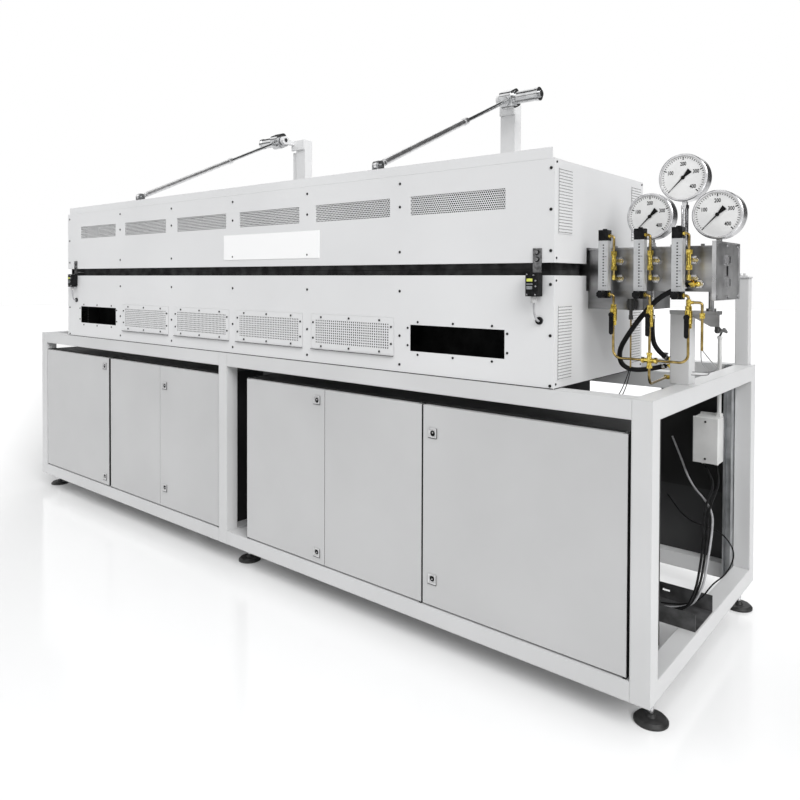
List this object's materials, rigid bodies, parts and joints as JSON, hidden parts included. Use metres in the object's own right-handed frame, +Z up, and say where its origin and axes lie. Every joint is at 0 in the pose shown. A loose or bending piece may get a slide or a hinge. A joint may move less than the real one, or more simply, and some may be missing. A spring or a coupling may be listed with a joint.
{
  "type": "heat treatment furnace",
  "caption": "Long hinged-lid muffle furnace on a welded stand with enclosures, lid lifting drives and a gas train.",
  "frame": {"origin": "on the floor under the middle of the welded stand", "axes": "+X along the furnace towards the gas outlet end, +Y from the door side to the rear, +Z up"},
  "size_m": [3.964, 1.163, 2.2031],
  "materials": {
    "frame_paint": "smooth semi-gloss powder coat",
    "door_paint": "fine textured powder coat",
    "casing_paint": "fine textured powder coat",
    "panel_grey": "satin",
    "foot_black": "moulded pad with a bright steel stem",
    "gear_plate": "zinc plated",
    "insulation": "ceramic fibre blocks with a dark face",
    "element_ceramic": "matte",
    "stainless": "drawn stainless",
    "zinc_steel": "zinc plated",
    "drive_alloy": "cast and painted silver",
    "tube_steel": "polished",
    "switch_black": "moulded",
    "cable_grey": "smooth sheath",
    "acrylic": "clear",
    "black_plastic": "moulded",
    "brass": "bright turned and drawn",
    "gauge_case": "polished rim with a white dial",
    "pointer_black": "matte",
    "hose_rubber": "smooth",
    "box_grey": "moulded",
    "tray_black": "satin",
    "cable_black": "smooth sheath"
  },
  "bodies": {
    "base": {"frame_hoops": "frame_paint", "frame_rails": "frame_paint", "rear_panel": "panel_grey", "levelling_feet": "foot_black", "left_enclosures": "frame_paint", "right_enclosures": "frame_paint", "control_gear": "gear_plate", "lower_casing": "casing_paint", "vent_covers": "casing_paint", "hearth_insulation": "insulation", "heating_elements": "element_ceramic", "retort": "stainless", "retort_supports": "stainless", "retort_end_cover": "stainless", "lid_hinges": "zinc_steel", "lift_masts": "frame_paint", "safety_switches": "switch_black", "switch_cables": "cable_grey", "support_posts": "frame_paint", "flowmeter_blocks": "acrylic", "flowmeter_ends": "black_plastic", "gas_fittings": "brass", "gas_tubes": "brass", "gauge_cases": "gauge_case", "gas_hoses": "hose_rubber", "junction_box": "box_grey", "cable_tray": "tray_black", "frame_cables": "cable_black"},
    "lid": {"lid_casing": "casing_paint", "lid_grilles": "tray_black", "lid_insulation": "insulation", "lid_lift_rail": "casing_paint", "lid_brackets": "zinc_steel"},
    "left_lift_drive": {"left_lift_drive": "drive_alloy"},
    "right_lift_drive": {"right_lift_drive": "drive_alloy"},
    "left_push_tube": {"left_push_tube": "tube_steel"},
    "right_push_tube": {"right_push_tube": "tube_steel"},
    "left_single_door": {"left_single_door": "door_paint"},
    "left_double_door_a": {"left_double_door_a": "door_paint"},
    "left_double_door_b": {"left_double_door_b": "door_paint"},
    "right_double_door_a": {"right_double_door_a": "door_paint"},
    "right_double_door_b": {"right_double_door_b": "door_paint"},
    "right_single_door": {"right_single_door": "door_paint"},
    "left_single_lower_lock": {"left_single_lower_lock": "zinc_steel"},
    "left_single_upper_lock": {"left_single_upper_lock": "zinc_steel"},
    "left_double_lower_lock_b": {"left_double_lower_lock_b": "zinc_steel"},
    "left_double_upper_lock_b": {"left_double_upper_lock_b": "zinc_steel"},
    "right_double_lower_lock_a": {"right_double_lower_lock_a": "zinc_steel"},
    "right_double_upper_lock_a": {"right_double_upper_lock_a": "zinc_steel"},
    "right_single_lower_lock": {"right_single_lower_lock": "zinc_steel"},
    "right_single_upper_lock": {"right_single_upper_lock": "zinc_steel"},
    "left_valve_lever": {"left_valve_lever": "black_plastic"},
    "left_flowmeter_knob": {"left_flowmeter_knob": "black_plastic"},
    "left_gauge_pointer": {"left_gauge_pointer": "pointer_black"},
    "middle_valve_lever": {"middle_valve_lever": "black_plastic"},
    "middle_flowmeter_knob": {"middle_flowmeter_knob": "black_plastic"},
    "middle_gauge_pointer": {"middle_gauge_pointer": "pointer_black"},
    "right_valve_lever": {"right_valve_lever": "black_plastic"},
    "right_flowmeter_knob": {"right_flowmeter_knob": "black_plastic"},
    "right_gauge_pointer": {"right_gauge_pointer": "pointer_black"}
  },
  "joints": [
    {"name": "lid_opening", "type": "hinge", "parent": "base", "child": "lid", "pos_m": [0.011, 0.174, 1.3255], "axis": [-1, 0, 0], "range_deg": [0, 25]},
    {"name": "left_drive_swing", "type": "hinge", "parent": "base", "child": "left_lift_drive", "pos_m": [-0.828, 0.425, 2.155], "axis": [-1, 0, 0], "range_deg": [0, 12]},
    {"name": "left_tube_retraction", "type": "slide", "parent": "left_lift_drive", "child": "left_push_tube", "axis": [0, 0.9092, 0.4163], "range_m": [0, 0.303]},
    {"name": "right_drive_swing", "type": "hinge", "parent": "base", "child": "right_lift_drive", "pos_m": [0.842, 0.425, 2.155], "axis": [-1, 0, 0], "range_deg": [0, 12]},
    {"name": "right_tube_retraction", "type": "slide", "parent": "right_lift_drive", "child": "right_push_tube", "axis": [0, 0.9092, 0.4163], "range_m": [0, 0.303]},
    {"name": "left_single_door_swing", "type": "hinge", "parent": "base", "child": "left_single_door", "pos_m": [-1.829, -0.556, 0.145], "axis": [0, 0, -1], "range_deg": [0, 110]},
    {"name": "left_double_door_a_swing", "type": "hinge", "parent": "base", "child": "left_double_door_a", "pos_m": [-1.068, -0.556, 0.145], "axis": [0, 0, -1], "range_deg": [0, 110]},
    {"name": "left_double_door_b_swing", "type": "hinge", "parent": "base", "child": "left_double_door_b", "pos_m": [-0.104, -0.556, 0.145], "axis": [0, 0, 1], "range_deg": [0, 100]},
    {"name": "right_double_door_a_swing", "type": "hinge", "parent": "base", "child": "right_double_door_a", "pos_m": [0.113, -0.556, 0.145], "axis": [0, 0, -1], "range_deg": [0, 100]},
    {"name": "right_double_door_b_swing", "type": "hinge", "parent": "base", "child": "right_double_door_b", "pos_m": [1.077, -0.556, 0.145], "axis": [0, 0, 1], "range_deg": [0, 110]},
    {"name": "right_single_door_swing", "type": "hinge", "parent": "base", "child": "right_single_door", "pos_m": [1.824, -0.556, 0.145], "axis": [0, 0, 1], "range_deg": [0, 110]},
    {"name": "left_single_lower_lock_turn", "type": "hinge", "parent": "left_single_door", "child": "left_single_lower_lock", "pos_m": [-1.137, -0.561, 0.1955], "axis": [0, 1, 0], "range_deg": [0, 90]},
    {"name": "left_single_upper_lock_turn", "type": "hinge", "parent": "left_single_door", "child": "left_single_upper_lock", "pos_m": [-1.137, -0.561, 0.8065], "axis": [0, -1, 0], "range_deg": [0, 90]},
    {"name": "left_double_lower_lock_b_turn", "type": "hinge", "parent": "left_double_door_b", "child": "left_double_lower_lock_b", "pos_m": [-0.5425, -0.561, 0.2465], "axis": [0, -1, 0], "range_deg": [0, 90]},
    {"name": "left_double_upper_lock_b_turn", "type": "hinge", "parent": "left_double_door_b", "child": "left_double_upper_lock_b", "pos_m": [-0.5425, -0.561, 0.7555], "axis": [0, 1, 0], "range_deg": [0, 90]},
    {"name": "right_double_lower_lock_a_turn", "type": "hinge", "parent": "right_double_door_a", "child": "right_double_lower_lock_a", "pos_m": [0.5515, -0.561, 0.1955], "axis": [0, 1, 0], "range_deg": [0, 90]},
    {"name": "right_double_upper_lock_a_turn", "type": "hinge", "parent": "right_double_door_a", "child": "right_double_upper_lock_a", "pos_m": [0.5515, -0.561, 0.8065], "axis": [0, -1, 0], "range_deg": [0, 90]},
    {"name": "right_single_lower_lock_turn", "type": "hinge", "parent": "right_single_door", "child": "right_single_lower_lock", "pos_m": [1.132, -0.561, 0.2465], "axis": [0, -1, 0], "range_deg": [0, 90]},
    {"name": "right_single_upper_lock_turn", "type": "hinge", "parent": "right_single_door", "child": "right_single_upper_lock", "pos_m": [1.132, -0.561, 0.7555], "axis": [0, 1, 0], "range_deg": [0, 90]},
    {"name": "left_valve_turn", "type": "hinge", "parent": "base", "child": "left_valve_lever", "pos_m": [1.705, -0.377, 1.183], "axis": [0, 1, 0], "range_deg": [0, 90]},
    {"name": "left_needle_valve_turn", "type": "hinge", "parent": "base", "child": "left_flowmeter_knob", "pos_m": [1.672, -0.385, 1.247], "axis": [0, 1, 0], "range_deg": [0, 720]},
    {"name": "left_pointer_sweep", "type": "hinge", "parent": "base", "child": "left_gauge_pointer", "pos_m": [1.758, -0.22, 1.501], "axis": [0, 1, 0], "range_deg": [0, 270]},
    {"name": "middle_valve_turn", "type": "hinge", "parent": "base", "child": "middle_valve_lever", "pos_m": [1.82, -0.377, 1.183], "axis": [0, 1, 0], "range_deg": [0, 90]},
    {"name": "middle_needle_valve_turn", "type": "hinge", "parent": "base", "child": "middle_flowmeter_knob", "pos_m": [1.787, -0.385, 1.247], "axis": [0, 1, 0], "range_deg": [0, 720]},
    {"name": "middle_pointer_sweep", "type": "hinge", "parent": "base", "child": "middle_gauge_pointer", "pos_m": [1.863, -0.22, 1.619], "axis": [0, 1, 0], "range_deg": [0, 270]},
    {"name": "right_valve_turn", "type": "hinge", "parent": "base", "child": "right_valve_lever", "pos_m": [1.935, -0.377, 1.183], "axis": [0, 1, 0], "range_deg": [0, 90]},
    {"name": "right_needle_valve_turn", "type": "hinge", "parent": "base", "child": "right_flowmeter_knob", "pos_m": [1.902, -0.385, 1.247], "axis": [0, 1, 0], "range_deg": [0, 720]},
    {"name": "right_pointer_sweep", "type": "hinge", "parent": "base", "child": "right_gauge_pointer", "pos_m": [1.968, -0.22, 1.496], "axis": [0, 1, 0], "range_deg": [0, 270]}
  ],
  "couplings": [
    {"joint": "left_drive_swing", "follows": "lid_opening", "ratio": 0.43353},
    {"joint": "left_tube_retraction", "follows": "lid_opening", "m_per_rad": 0.6918},
    {"joint": "right_drive_swing", "follows": "lid_opening", "ratio": 0.43353},
    {"joint": "right_tube_retraction", "follows": "lid_opening", "m_per_rad": 0.6918}
  ]
}
